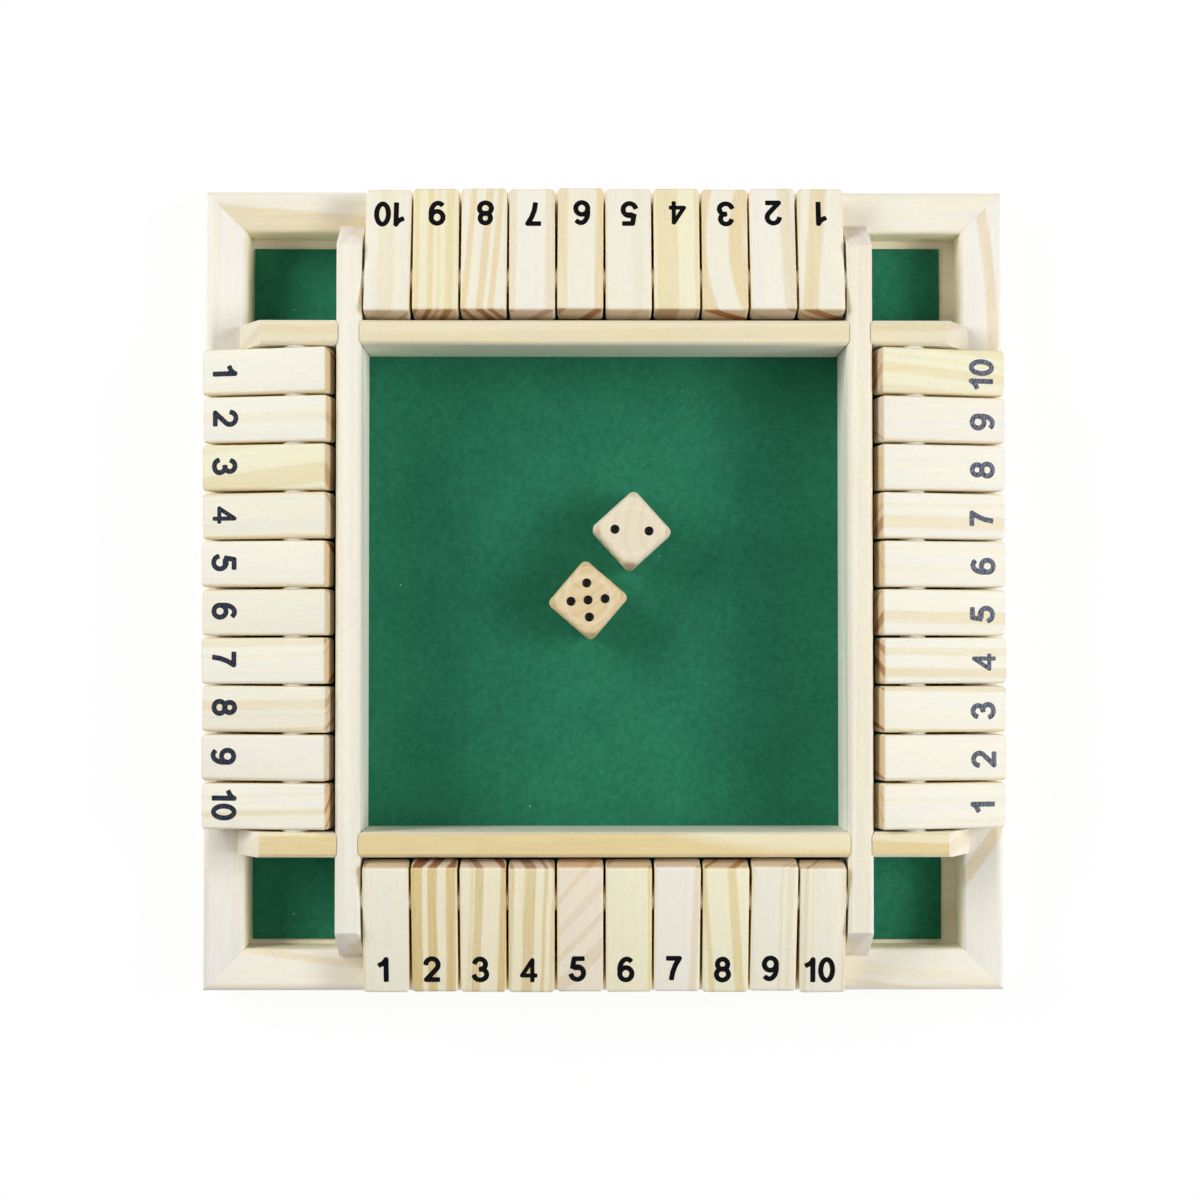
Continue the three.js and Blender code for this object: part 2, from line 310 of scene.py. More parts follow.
# Pine: growth rings about a pith that runs along the piece's own X, so that bands of darker wood
# cross its faces and its ends as in a sawn board. Lengths here are in mm.

RAMP_SPAN = 32.0
RAIL_RAMP_SPAN = 96.0
FAR_PITH = 70.0
RING_WANDER = 0.9
BAND_SOFT = 0.42
BAND_SOFT_SHARE = 0.1
LEAST_STEP = 0.0005
BROAD_SHADE = 0.17
FINE_SHADE = 0.18
GRIT_SHADE = 0.18
GRIT_IN_BANDS = 0.2
PORE_SHADE = -0.06
END_SHADE = 0.4
# How much of the faces at either side takes their colour of painted light
PAINTED_SIDE_SHARE = 0.85
BLOTCH_SHARE = 0.6
WARM = srgb(255, 253, 247)
BLOTCH = srgb(254, 251, 248)


def make_group(name, inputs, outputs):
    tree = bpy.data.node_groups.new(name, "ShaderNodeTree")
    for direction, sockets in (("INPUT", inputs), ("OUTPUT", outputs)):
        for socket, kind in sockets.items():
            tree.interface.new_socket(socket, in_out=direction, socket_type=f"NodeSocket{kind}")
    return tree, tree.nodes.new("NodeGroupInput").outputs, tree.nodes.new("NodeGroupOutput").inputs


def turned_back(tree, vector, turn):
    """A vector of the object's frame, in the frame of its grain."""
    inputs = {"Vector": vector, "Rotation": turn}
    return add_node(tree, "ShaderNodeMapping", inputs, vector_type="VECTOR").outputs[0]


def ring_place_group():
    """How far a point lies from the ring through the middle of the top, as a place on a ramp."""
    inputs = dict(Pith="Vector", Lean="Vector", Turn="Vector", Distance="Float", Span="Float")
    inputs.update(Bend="Float", Wobble="Float", Seed="Float")
    tree, given, out = make_group("ring_place", inputs, dict(Place="Float"))
    at = turned_back(tree, in_mm(tree), given["Turn"])
    inputs = {"Vector": at, "Location": given["Pith"], "Rotation": given["Lean"]}
    off = parts_of(tree, add_node(tree, "ShaderNodeMapping", inputs).outputs[0])
    squares = calc(tree, "ADD", calc(tree, "POWER", off[1], 2.0), calc(tree, "POWER", off[2], 2.0))
    reach = calc(tree, "SUBTRACT", calc(tree, "SQRT", squares), given["Distance"])
    square = calc(tree, "POWER", parts_of(tree, at)[0], 2.0)
    reach = calc(tree, "MULTIPLY_ADD", square, given["Bend"], reach)
    kinds = ("ring_slow", "ring_quick", "ring_ragged")
    slow, quick, ragged = (fibres(tree, at, kind, given["Seed"]) for kind in kinds)
    wander = calc(tree, "MULTIPLY_ADD", quick, 0.3, calc(tree, "MULTIPLY_ADD", ragged, 0.5, slow))
    wander = calc(tree, "SUBTRACT", wander, RING_WANDER)
    reach = calc(tree, "MULTIPLY_ADD", wander, given["Wobble"], reach)
    spot = calc(tree, "ADD", calc(tree, "DIVIDE", reach, given["Span"]), 0.5)
    tree.links.new(spot, out["Place"])
    return tree


def pine_look_group():
    """Colour and relief of pine, given how strong the dark band is at each point."""
    inputs = dict(Band="Float", Seed="Float", Pale="Color", Dark="Color", End="Color", Edge="Color")
    inputs.update({"End Dark": "Color", "Turn": "Vector"})
    tree, given, out = make_group("pine_look", inputs, dict(Color="Color", Height="Float"))
    at = turned_back(tree, in_mm(tree), given["Turn"])

    # Fibres run along the piece: broad streaks, fine lines and short dark pores
    kinds = ("broad", "fine", "cloud", "grit", "pores", "streak", "speck")
    grain = {kind: fibres(tree, at, kind, given["Seed"]) for kind in kinds}
    pores = smooth(tree, grain["pores"], 0.64, 0.8)
    streak = calc(tree, "MULTIPLY_ADD", grain["streak"], 1.4, 0.3)
    band = calc(tree, "MULTIPLY", given["Band"], streak, clamp=True)
    shade = sway(tree, grain["broad"], BROAD_SHADE)
    shade = sway(tree, grain["fine"], FINE_SHADE, shade)
    gritty = calc(tree, "MULTIPLY_ADD", given["Band"], GRIT_IN_BANDS, GRIT_SHADE)
    shade = sway(tree, grain["grit"], gritty, shade)
    shade = calc(tree, "MULTIPLY_ADD", pores, PORE_SHADE, shade)
    warm = mix(tree, smooth(tree, grain["broad"], 0.42, 0.62), WHITE, WARM)
    side = shaded(tree, mix(tree, band, given["Pale"], given["Dark"]), warm)
    blotch = calc(tree, "MULTIPLY", smooth(tree, grain["cloud"], 0.4, 0.75), BLOTCH_SHARE)
    side = shaded(tree, side, mix(tree, blotch, WHITE, BLOTCH))

    # The faces at either side of the board, whose own colour is painted light, paler on the rails'
    # walls and warmer on the tiles' sides, then the ends, where the rings show cut across, in end
    # grain colours with painted shade in them on the tiles and painted light on the rails
    normal = tree.nodes.new("ShaderNodeTexCoord").outputs["Normal"]
    normal = parts_of(tree, turned_back(tree, normal, given["Turn"]))
    painted_side = smooth(tree, calc(tree, "ABSOLUTE", normal[1]), 0.66, 0.99)
    side = mix(tree, calc(tree, "MULTIPLY", painted_side, PAINTED_SIDE_SHARE), side, given["Edge"])
    side = shaded(tree, side, shade)
    # The sawn ends' colour: end grain, with painted shade on the tiles and painted light on the rails
    sawn = mix(tree, given["Band"], given["End"], given["End Dark"])
    sawn = shaded(tree, sawn, sway(tree, grain["speck"], END_SHADE))
    end = smooth(tree, calc(tree, "ABSOLUTE", normal[0]), 0.55, 0.92)
    tree.links.new(mix(tree, end, side, sawn), out["Color"])
    height = calc(tree, "MULTIPLY_ADD", grain["fine"], 0.6, calc(tree, "MULTIPLY", pores, -0.7))
    height = calc(tree, "MULTIPLY_ADD", given["Band"], 0.3, height)
    tree.links.new(height, out["Height"])
    return tree


# Kinds of pine: pale wood, its dark bands, the faces at either side, whose colour is painted light,
# then both at the sawn ends, end grain with painted shade in it on the tiles and painted light on
# the rails
PINES = {
    "cream": ((243, 239, 222), (233, 219, 184), (239, 219, 174), (224, 204, 172), (184, 144, 104)),
    "ivory": ((246, 243, 230), (237, 225, 190), (241, 223, 180), (224, 199, 158), (156, 102, 58)),
    "pink": ((244, 240, 228), (235, 224, 198), (240, 221, 180), (224, 203, 177), (190, 152, 118)),
    "rose": ((242, 232, 213), (230, 213, 186), (236, 211, 166), (219, 188, 150), (196, 150, 104)),
    "straw": ((244, 240, 212), (232, 216, 166), (238, 217, 164), (218, 195, 158), (172, 126, 82)),
    "gold": ((243, 236, 208), (235, 221, 172), (236, 214, 158), (220, 193, 150), (162, 104, 60)),
    "honey": ((243, 236, 208), (221, 198, 142), (228, 200, 142), (226, 207, 184), (148, 98, 64)),
    "peach": ((243, 239, 222), (234, 217, 177), (239, 219, 174), (222, 199, 162), (168, 112, 64)),
    "rail": ((246, 243, 231), (241, 234, 214), (246, 244, 234), (246, 240, 230), (238, 229, 217)),
    "rail_straw": ((237, 228, 198), (230, 217, 177), (243, 241, 226), (229, 220, 202), (217, 202, 177)),
    "rail_gold": ((240, 230, 196), (229, 209, 157), (242, 240, 226), (243, 236, 222), (236, 225, 203)),
    "frame": ((242, 237, 223), (232, 217, 182), (250, 239, 206), (226, 210, 186), (200, 170, 130)),
    "white": ((244, 241, 233), (233, 219, 187), (250, 240, 208), (226, 210, 186), (200, 170, 130)),
}

# Pieces with bent rings: the shift in mm, per square mm of the way along from the piece's middle
BENDS = {
    "east_frame_rail": -0.00236,
    "south_cross_rail": -0.00312,
    "south_tile_5": 0.003,
    "north_tile_3": 0.005,
}

RING_PLACE = ring_place_group()
PINE_LOOK = pine_look_group()


def band_ramp(tree, place, width, bands, span):
    """The strength of the dark bands, each given by its place, width and strength."""
    ramp = add_node(tree, "ShaderNodeValToRGB", {"Fac": place})
    stops = [(-span / 2, 0.0)]
    for middle_share, width_share, strength in sorted(bands):
        middle = middle_share * width
        half = width_share * width / 2
        soft = min(half, BAND_SOFT + half * BAND_SOFT_SHARE)
        stops.append((middle - half - soft / 2, 0.0))
        stops.append((middle - half + soft / 2, strength))
        stops.append((middle + half - soft / 3, strength))
        stops.append((middle + half + soft / 2, 0.0))
    elements = ramp.color_ramp.elements
    elements.remove(elements[1])
    last = -1.0
    for index, (reach, value) in enumerate(stops):
        spot = max(reach / span + 0.5, last + LEAST_STEP, 0.0)
        last = spot
        stop = elements[0] if index == 0 else elements.new(min(spot, 1.0))
        stop.color = (value, value, value, 1)
    return ramp.outputs["Color"]


def pine_material(node, size, seed, sawn, turn=(0, 0, 0), span=RAMP_SPAN):
    """One piece's wood. size is its width and height in mm, sawn says how it was sawn, and turn
    brings its object's frame round to its grain's."""
    material, tree = new_material(f"wood_{node}", Roughness=0.55, Specular_IOR_Level=0.25)
    width, height = size
    wood, tilt, lean, *bands = sawn
    tilt = radians(tilt)
    pith = (0, FAR_PITH * cos(tilt), FAR_PITH * sin(tilt) - height / 2)
    values = dict(Pith=pith, Lean=(0, 0, radians(lean)), Turn=turn, Distance=FAR_PITH)
    values.update(Span=span, Bend=BENDS.get(node, 0), Wobble=1.0, Seed=seed)
    place = add_node(tree, "ShaderNodeGroup", values, node_tree=RING_PLACE).outputs[0]
    pale, dark, painted_side, end, end_dark = (srgb(*color) for color in PINES[wood])
    values = {"Band": band_ramp(tree, place, width, bands, span), "End Dark": end_dark}
    values.update(Seed=seed, Pale=pale, Dark=dark, End=end, Edge=painted_side, Turn=turn)
    look = add_node(tree, "ShaderNodeGroup", values, node_tree=PINE_LOOK).outputs
    return dressed(material, look["Color"], look["Height"], "pine")


# Other materials


def felt_material():
    sheen = dict(Sheen_Weight=0.25, Sheen_Roughness=0.5, Sheen_Tint=srgb(120, 190, 160))
    material, tree = new_material("green_felt", Roughness=0.95, Specular_IOR_Level=0.15, **sheen)
    at = in_mm(tree)
    nap = noise(tree, at, scale=0.06, seed=3.0, detail=3.0, roughness=0.6)
    tufts = noise(tree, at, scale=0.55, seed=5.0, detail=4.0, roughness=0.7)
    green = mix(tree, smooth(tree, nap, 0.3, 0.7), srgb(38, 118, 88), srgb(43, 125, 94))
    green = mix(tree, smooth(tree, tufts, 0.3, 0.7), mix(tree, 0.34, green, srgb(8, 60, 42)), green)
    along = calc(tree, "MULTIPLY", fibres(tree, at, "felt_along", 7.0), 0.5)
    across = calc(tree, "MULTIPLY", fibres(tree, at, "felt_across", 9.0), 0.5)
    wool = calc(tree, "ADD", along, across)
    green = shaded(tree, green, sway(tree, wool, 1.5))
    inputs = {"Vector": at, "Scale": 0.11, "Randomness": 1.0}
    lint = add_node(tree, "ShaderNodeTexVoronoi", inputs, feature="F1").outputs
    few = add_node(tree, "ShaderNodeSeparateColor", {0: lint["Color"]}).outputs[0]
    fluff = calc(tree, "SUBTRACT", 1.0, smooth(tree, lint["Distance"], 0.011, 0.034))
    fluff = calc(tree, "MULTIPLY", fluff, calc(tree, "GREATER_THAN", few, 0.6))
    color = mix(tree, calc(tree, "MULTIPLY", fluff, 0.6), green, srgb(190, 215, 205))
    return dressed(material, color, wool, "felt")


def plywood_material():
    material, tree = new_material("plywood", Roughness=0.7, Specular_IOR_Level=0.3)
    at = in_mm(tree)
    figure = smooth(tree, fibres(tree, at, "ply_figure", 2.0), 0.35, 0.65)
    lines = fibres(tree, at, "ply_lines", 4.0)
    color = mix(tree, figure, srgb(252, 245, 224), srgb(242, 228, 198))
    return dressed(material, shaded(tree, color, sway(tree, lines, 0.22)), lines, "plywood")


def steel_material():
    material, tree = new_material("steel_rod", Metallic=1.0, Roughness=0.28)
    drawn = fibres(tree, in_mm(tree), "drawn", 1.0)
    rough = calc(tree, "MULTIPLY_ADD", drawn, 0.18, 0.2)
    tree.links.new(rough, shader_of(tree).inputs["Roughness"])
    return dressed(material, mix(tree, drawn, srgb(188, 190, 192), srgb(222, 224, 226)))


def nylon_material():
    clear = dict(Transmission_Weight=0.1, Specular_IOR_Level=0.5)
    material, tree = new_material("nylon_washer", Roughness=0.35, **clear)
    cloudy = noise(tree, in_mm(tree), scale=0.8, seed=6.0, detail=3.0)
    color = mix(tree, cloudy, srgb(240, 240, 236), srgb(252, 252, 250))
    return dressed(material, color, cloudy, "nylon")


def ink_material(name, dark, worn, wear):
    """Printed ink: wear is how much of it has rubbed thin."""
    material, tree = new_material(name, Roughness=0.6, Specular_IOR_Level=0.06)
    at = in_mm(tree)
    mottle = noise(tree, at, scale=1.6, seed=8.0, detail=4.0, roughness=0.7)
    mottle = calc(tree, "MULTIPLY", mottle, 0.5)
    both = calc(tree, "MULTIPLY_ADD", fibres(tree, at, "ink_grain", 9.0), 0.5, mottle)
    share = calc(tree, "MULTIPLY", smooth(tree, both, 0.42, 0.68), wear)
    return dressed(material, mix(tree, share, dark, worn), both, "ink")


# Dice: where their rings' pith runs, in mm and radians, how far from their middle the painted
# highlight along their rounded edges lies, and where they have stained, in mm
DIE_PITH = (0, 3, 16)
DIE_LEAN = (0.2, 0.35, 0.3)
DIE_RING_PITCH = 1.7
HIGHLIGHT_IN = (9.8, 10.1)
HIGHLIGHT_OUT = (10.2, 10.9)
HIGHLIGHT_COLOR = srgb(242, 234, 216)
STAINED = (13.0, 14.4)
STAIN_SHARE = 0.7

# Kinds of die: the colours of its wood, of its rings and of its stain
DIE_COLORS = {
    "pale": ((234, 222, 196), (218, 201, 170), (160, 120, 78)),
    "tan": ((227, 205, 162), (200, 172, 122), (160, 120, 74)),
}


def die_material(kind, seed, stained):
    """Wood with faint rings, a paler ring near the rounded edges that is a painted highlight, and
    stained corners, most of all the one that the stain's middle is moved away from."""
    pale, ring, worn = (srgb(*color) for color in DIE_COLORS[kind])
    material, tree = new_material(f"die_{kind}", Roughness=0.42, Specular_IOR_Level=0.35)
    values = dict(Pith=DIE_PITH, Lean=DIE_LEAN, Distance=DIE_PITH[2], Span=RAMP_SPAN)
    values.update(Wobble=1.2, Seed=seed)
    place = add_node(tree, "ShaderNodeGroup", values, node_tree=RING_PLACE).outputs[0]
    rings = calc(tree, "MULTIPLY", place, 2 * pi * RAMP_SPAN / DIE_RING_PITCH)
    rings = smooth(tree, calc(tree, "SINE", rings), 0.1, 1.0)
    at = in_mm(tree)
    fine = fibres(tree, at, "die_fine", seed)
    color = mix(tree, calc(tree, "MULTIPLY", rings, 0.3), pale, ring)
    color = shaded(tree, color, sway(tree, fine, 0.25))
    reach = length_of(tree, at)
    # A mottled paler ring near the rounded edges: a painted highlight
    painted_highlight, past = (smooth(tree, reach, *ends) for ends in (HIGHLIGHT_IN, HIGHLIGHT_OUT))
    painted_highlight = calc(tree, "SUBTRACT", painted_highlight, past)
    painted_highlight = calc(tree, "MULTIPLY", painted_highlight, calc(tree, "MULTIPLY", fine, 0.55))
    color = mix(tree, painted_highlight, color, HIGHLIGHT_COLOR)
    aside = add_node(tree, "ShaderNodeVectorMath", {0: at, 1: stained}, operation="ADD").outputs[0]
    stain = calc(tree, "MULTIPLY_ADD", noise(tree, at, 0.25, seed), 2.4, length_of(tree, aside))
    share = calc(tree, "MULTIPLY", smooth(tree, stain, *STAINED), STAIN_SHARE)
    return dressed(material, mix(tree, share, color, worn), fine, "die")


def pip_material():
    material, tree = new_material("pip_paint", Roughness=0.25, Specular_IOR_Level=0.1)
    uneven = noise(tree, in_mm(tree), scale=1.2, seed=2.0, detail=3.0)
    return dressed(material, mix(tree, uneven, srgb(7, 7, 9), srgb(22, 22, 27)))


# Mesh helpers


def new_object(name, data):
    made = bpy.data.objects.new(name, data)
    bpy.context.scene.collection.objects.link(made)
    return made


def shade_mesh(mesh, sharp_degrees=SMOOTH_DEGREES):
    mesh.shade_smooth()
    mesh.set_sharp_from_angle(angle=radians(sharp_degrees))
    return mesh


def finish_mesh(name, shape, sharp_degrees=SMOOTH_DEGREES):
    """A mesh from a bmesh, smooth but for its sharp edges."""
    mesh = bpy.data.meshes.new(name)
    bmesh.ops.recalc_face_normals(shape, faces=shape.faces)
    shape.to_mesh(mesh)
    shape.free()
    return shade_mesh(mesh, sharp_degrees)


def join_into(joined, shape):
    """Adds one bmesh to another, and frees it."""
    part = bpy.data.meshes.new("part")
    shape.to_mesh(part)
    shape.free()
    joined.from_mesh(part)
    bpy.data.meshes.remove(part)


def move(shape, matrix):
    bmesh.ops.transform(shape, matrix=matrix, verts=shape.verts)


def thicken(shape, bottom):
    """Makes a solid of a sheet of faces, down to a level bottom."""
    below = bmesh.ops.extrude_face_region(shape, geom=shape.faces[:])["geom"]
    for vert in below:
        if isinstance(vert, bmesh.types.BMVert):
            vert.co.z = bottom


def add_piece(name, mesh, material, body, matrix, replaces=()):
    piece = new_object(name, mesh)
    piece.matrix_world = matrix
    mesh.materials.clear()
    mesh.materials.append(material)
    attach(piece, body)
    if replaces:
        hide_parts(*replaces)
    return piece


def is_mitre(normal):
    """Whether a face is a mitre's, level with its piece's edge at 45 degrees."""
    return abs(normal.z) < MITRE_TOLERANCE and abs(abs(normal.x) - abs(normal.y)) < MITRE_TOLERANCE


def ease(shape, edges, width):
    inputs = dict(segments=2, profile=0.5, affect="EDGES", clamp_overlap=True)
    bmesh.ops.bevel(shape, geom=edges, offset=width, **inputs)


def eased_copy(node, matrix):
    """A node's shape in its own grain frame, welded, with every sharp edge eased."""
    shape = bmesh.new()
    shape.from_mesh(frame["nodes"][node].data)
    bmesh.ops.remove_doubles(shape, verts=shape.verts, dist=WELD)
    flat = radians(FLAT_DEGREES)
    bmesh.ops.dissolve_limit(shape, angle_limit=flat, verts=shape.verts, edges=shape.edges)
    sharp = radians(EDGE_DEGREES)
    edges = [e for e in shape.edges if e.is_manifold and e.calc_face_angle() > sharp]
    mitres = {e for f in shape.faces if is_mitre(f.normal) for e in f.edges}
    ease(shape, [e for e in edges if e not in mitres], ARRIS)
    ease(shape, list({e for f in shape.faces if is_mitre(f.normal) for e in f.edges}), MITRE_ARRIS)
    move(shape, matrix.inverted())
    return finish_mesh(node, shape)


def grain_frame(node):
    """A frame at the middle of a straight piece, with X along its length and Z up."""
    low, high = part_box(node)
    centre = (low + high) / 2
    turn = 0 if high.x - low.x > high.y - low.y else pi / 2
    return Matrix.Translation(centre) @ Matrix.Rotation(turn, 4, "Z")


def lathe(outline, sides, axis="X"):
    """A closed solid turned from points (radius, along) about X, or about Z."""
    shape = bmesh.new()
    angles = [2 * pi * k / sides for k in range(sides)]
    rings = []
    for radius, along in outline:
        places = [(radius * cos(a), radius * sin(a), along) for a in angles]
        rings.append([shape.verts.new(place) for place in (places if radius else places[:1])])
    hollow = outline[0][0] != 0
    for first, second in zip(rings, rings[1:] + rings[:1] if hollow else rings[1:]):
        for k in range(sides):
            corners = [first[k % len(first)], first[(k + 1) % len(first)]]
            corners += [second[(k + 1) % len(second)], second[k % len(second)]]
            shape.faces.new(list(dict.fromkeys(corners)))
    if axis == "X":
        move(shape, Matrix.Rotation(pi / 2, 4, "Y"))
    return shape


def boolean_cut(mesh, cutter_mesh):
    """The mesh less the cutter, as a new mesh."""
    body = new_object("cut_body", mesh)
    cutter = new_object("cutter", cutter_mesh)
    modifier = body.modifiers.new("cut", "BOOLEAN")
    modifier.object = cutter
    modifier.operation = "DIFFERENCE"
    modifier.solver = "EXACT"
    depsgraph = bpy.context.evaluated_depsgraph_get()
    result = bpy.data.meshes.new_from_object(body.evaluated_get(depsgraph))
    for piece in (body, cutter):
        bpy.data.objects.remove(piece)
    return shade_mesh(result)


# Frame, rails and floor

# How each rail was sawn: kind of pine, ring tilt and lean in degrees, then dark bands as (place,
# width, strength), the first two in shares of its width
FRAME_SHARES = {
    "south_frame_rail": ("frame", 10, 7.9, (-0.66, 0.16, 0.6), (0.54, 0.1, 0.5), (0.9, 0.3, 0.2)),
    "east_frame_rail": ("white", 8, 18.9, (0.684, 0.24, 0.8), (-3.03, 0.34, 0.8)),
    "north_frame_rail": ("frame", 8, 4.9, (-0.93, 0.7, 0.8)),
    "west_frame_rail": ("white", 12, 0.8, (-0.4, 0.2, 0.15), (0.3, 0.12, 0.15)),
}
RAIL_SHARES = {
    "east_divider": ("rail", 20, 0.4, (-0.15, 0.6, 0.9), (0.36, 0.24, 0.8)),
    "west_divider": ("rail", -15, -0.3, (0.3, 0.25, 0.6), (-0.2, 0.2, 0.4)),
    "south_cross_rail": ("rail_gold", 25, 21.9, (-2.88, 8.05, 1.0)),
    "north_cross_rail": ("rail_straw", -20, -0.9, (-0.1, 0.4, 0.5), (0.6, 0.2, 0.5)),
    "south_east_rail": ("rail_gold", 15, 1.4, (-0.15, 0.5, 0.9), (0.5, 0.2, 0.5)),
    "north_east_rail": ("rail_straw", 15, -0.8, (0.2, 0.3, 0.8)),
    "north_west_rail": ("rail_straw", -15, 1.2, (0.1, 0.3, 0.6)),
    "south_west_rail": ("rail_gold", -15, -1.2, (-0.1, 0.9, 0.9)),
}
RAIL_SEED_STEP = 3.7


def make_frame():
    for rails, slot in ((FRAME_SHARES, "pine_frame"), (RAIL_SHARES, "pine_rail")):
        for index, (node, sawn) in enumerate(rails.items()):
            matrix = grain_frame(node)
            low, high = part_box(node)
            size = sorted(((high - low) / MM)[:2])
            mesh = eased_copy(node, matrix)
            if slot == "pine_frame":
                half = size[1] * MM / 2
                mesh.transform(Matrix.Scale((half + MITRE_CLOSED) / half, 4, (1, 0, 0)))
            seed = RAIL_SEED_STEP * index + size[0]
            section = (size[0], (high.z - low.z) / MM)
            material = pine_material(node, section, seed, sawn, span=RAIL_RAMP_SPAN)
            add_piece(f"{node}_wood", mesh, material, "board", matrix, [node])
    base = frame["nodes"]["base_board"].data.materials
    base.clear()
    base.append(plywood_material())


def make_felt():
    """The felt lining: one sheet with a soft, uneven edge and a slightly uneven face."""
    low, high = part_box("felt_lining")
    size = high - low
    counts = [round(size.x / FELT_CELL), round(size.y / FELT_CELL)]
    shape = bmesh.new()
    bmesh.ops.create_grid(shape, x_segments=counts[0], y_segments=counts[1], size=0.5)
    bmesh.ops.scale(shape, vec=(size.x, size.y, 1), verts=shape.verts)
    for vert in shape.verts:
        x, y, _ = vert.co
        near_x = abs(x) / (size.x / 2)
        near_y = abs(y) / (size.y / 2)
        wave = sin(x / FELT_WAVES[0]) + sin(y / FELT_WAVES[1] + FELT_WAVE_START)
        pull = FELT_PULL * (1 + wave / 2)
        x -= copysign(pull, x) * near_x**FELT_PULL_POWER
        y -= copysign(pull, y) * near_y**FELT_PULL_POWER
        droop = FELT_DROOP * max(near_x, near_y) ** FELT_DROOP_POWER
        ripple = FELT_RIPPLE * sin(x / FELT_RIPPLES[0]) * cos(y / FELT_RIPPLES[1])
        vert.co = (x, y, ripple - droop - FELT_SUNK)
    thicken(shape, -size.z)
    mesh = finish_mesh("felt", shape, SOFT_DEGREES)
    top = Matrix.Translation(((low.x + high.x) / 2, (low.y + high.y) / 2, high.z))
    felt = add_piece("felt_sheet", mesh, felt_material(), "board", top, ["felt_lining"])


# Rods and washers


def turned_rod(bore, radius, half, bevel, sides):
    """A rod or ring along X, half its length to either side, with the rims of its ends bevelled."""
    outline = [
        (bore, -half),
        (radius - bevel, -half),
        (radius, bevel - half),
        (radius, half - bevel),
        (radius - bevel, half),
        (bore, half),
    ]
    return lathe(outline, sides)


def washer_row():
    """A pair of washers in every gap between tiles and at both ends of the row."""
    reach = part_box("east_divider")[0].x - TILE_GAP
    pitch = (2 * reach + TILE_GAP) / TILES_PER_ROW
    half = WASHER_THICKNESS / 2
    washers = bmesh.new()
    for k in range(TILES_PER_ROW + 1):
        for way in (-1, 1):
            at = k * pitch - reach - TILE_GAP / 2 + way * WASHER_SPREAD / 2
            drift = way * WASHER_DRIFT * sin(WASHER_DRIFT_STEP * k + WASHER_DRIFT_START)
            ring = turned_rod(WASHER_BORE, WASHER_RADIUS, half, WASHER_BEVEL, RING_SIDES)
            move(ring, Matrix.Translation((at, drift, 0)))
            join_into(washers, ring)
    return washers


def make_rods():
    steel = steel_material()
    nylon = nylon_material()
    for side in OUTWARD:
        node = f"{side}_rod"
        low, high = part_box(node)
        half = max(high.x - low.x, high.y - low.y) / 2
        matrix = grain_frame(node)
        rod = finish_mesh(node, turned_rod(0, ROD_RADIUS, half, ROD_BEVEL, ROD_SIDES))
        add_piece(f"{side}_steel_rod", rod, steel, "board", matrix, [node])
        washers = finish_mesh(f"{side}_washers", washer_row())
        add_piece(f"{side}_washers", washers, nylon, "board", matrix)


# Tiles


def face_direction(mesh, near):
    """The average normal of the faces that look within 10 degrees of a direction."""
    total = Vector((0, 0, 0))
    for polygon in mesh.polygons:
        if polygon.normal.dot(near) > SAME_WAY:
            total += polygon.normal * polygon.area
    return total.normalized()


def tile_frame(node, side):
    """Two frames at a tile's middle from its own solid, and its size. The first has X outward along
    the tile and Z out of its face, and the second is level."""
    mesh = frame["nodes"][node].data
    outward = Vector(OUTWARD[side])
    tilt = radians(TILE_TILT)
    out = face_direction(mesh, outward * sin(tilt) + Vector((0, 0, cos(tilt))))
    across = face_direction(mesh, Vector((0, 0, 1)).cross(outward))
    along = across.cross(out).normalized()
    across = out.cross(along)
    turn = np.array([along, across, out])
    reach = np.array([v.co for v in mesh.vertices]) @ turn.T
    low, high = reach.min(0), reach.max(0)
    centre = Vector(((low + high) / 2) @ turn)
    own = Matrix.Translation(centre) @ Matrix((along, across, out)).transposed().to_4x4()
    level = Matrix((outward, Vector((0, 0, 1)).cross(outward), (0, 0, 1))).transposed().to_4x4()
    return own, Matrix.Translation(centre) @ level, Vector(high - low)


def tile_shape(size, bore_x):
    """A tile with its edges rounded and its bore drilled."""
    block = bmesh.new()
    bmesh.ops.create_cube(block, size=1.0)
    bmesh.ops.scale(block, vec=size, verts=block.verts)
    inputs = dict(segments=4, profile=0.5, affect="EDGES")
    bmesh.ops.bevel(block, geom=block.edges[:], offset=TILE_ROUND, **inputs)
    block = finish_mesh("tile_block", block, SOFT_DEGREES)
    half = size.y
    outline = [(0, -half), (ROD_HOLE_RADIUS, -half), (ROD_HOLE_RADIUS, half), (0, half)]
    drill = lathe(outline, RING_SIDES)
    move(drill, Matrix.Translation((bore_x, 0, 0)) @ Matrix.Rotation(pi / 2, 4, "Z"))
    return boolean_cut(block, finish_mesh("drill", drill))


# Strokes of each numeral: points across and up, in shares of the height of its middle line


def arc(centre_x, centre_y, radius_x, radius_y, start, end, steps=26):
    """Points along part of an ellipse, from start to end in degrees."""
    angles = [radians(start + (end - start) * k / steps) for k in range(steps + 1)]
    return [(centre_x + radius_x * cos(a), centre_y + radius_y * sin(a)) for a in angles]


def turned(strokes, width):
    """The same strokes turned by half a turn."""
    return [[(width - x, 1 - y) for x, y in stroke] for stroke in strokes]


